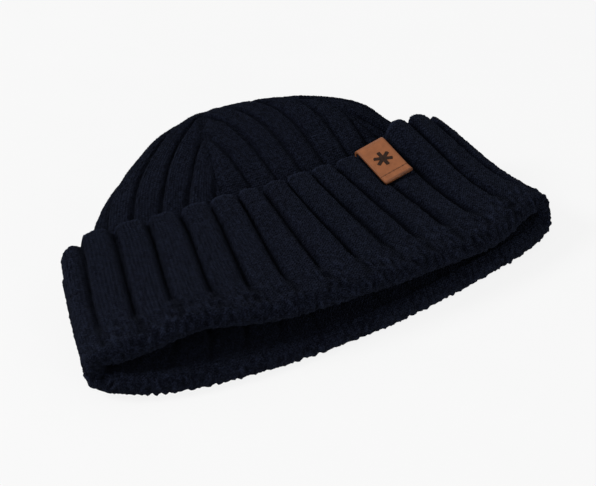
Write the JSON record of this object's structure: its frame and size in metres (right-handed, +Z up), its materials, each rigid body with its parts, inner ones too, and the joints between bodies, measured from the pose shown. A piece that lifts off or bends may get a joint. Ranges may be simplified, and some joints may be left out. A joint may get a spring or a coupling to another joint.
{
  "type": "ribbed knit beanie with turned-up cuff",
  "caption": "Ribbed wool beanie with a deep turned-up cuff and a folded leather label, lying on its back with the opening towards the front.",
  "frame": {"origin": "centre of the plan at the height of the surface the hat lies on", "axes": "+X along the opening from the left crease to the right crease, +Y from the opening to the crown's tip, +Z up from the surface the hat lies on"},
  "size_m": [0.2353, 0.1472, 0.0456],
  "materials": {
    "knit_wool": "bulky ribbed wool, matt, slightly fuzzy",
    "seam_thread": "twisted wool thread, matt",
    "label_leather": "vegetable-tanned leather, light tan, satin, raw cut edges",
    "label_mark": "dark brown, pressed into the leather",
    "label_thread": "waxed brown thread"
  },
  "bodies": {
    "root": {"knit_body": "knit_wool", "cuff_band": "knit_wool", "crown_gather_yarn": "seam_thread", "back_seam_thread": "seam_thread", "leather_label": "label_leather", "label_emblem": "label_mark", "label_stitching": "label_thread"}
  },
  "joints": []
}
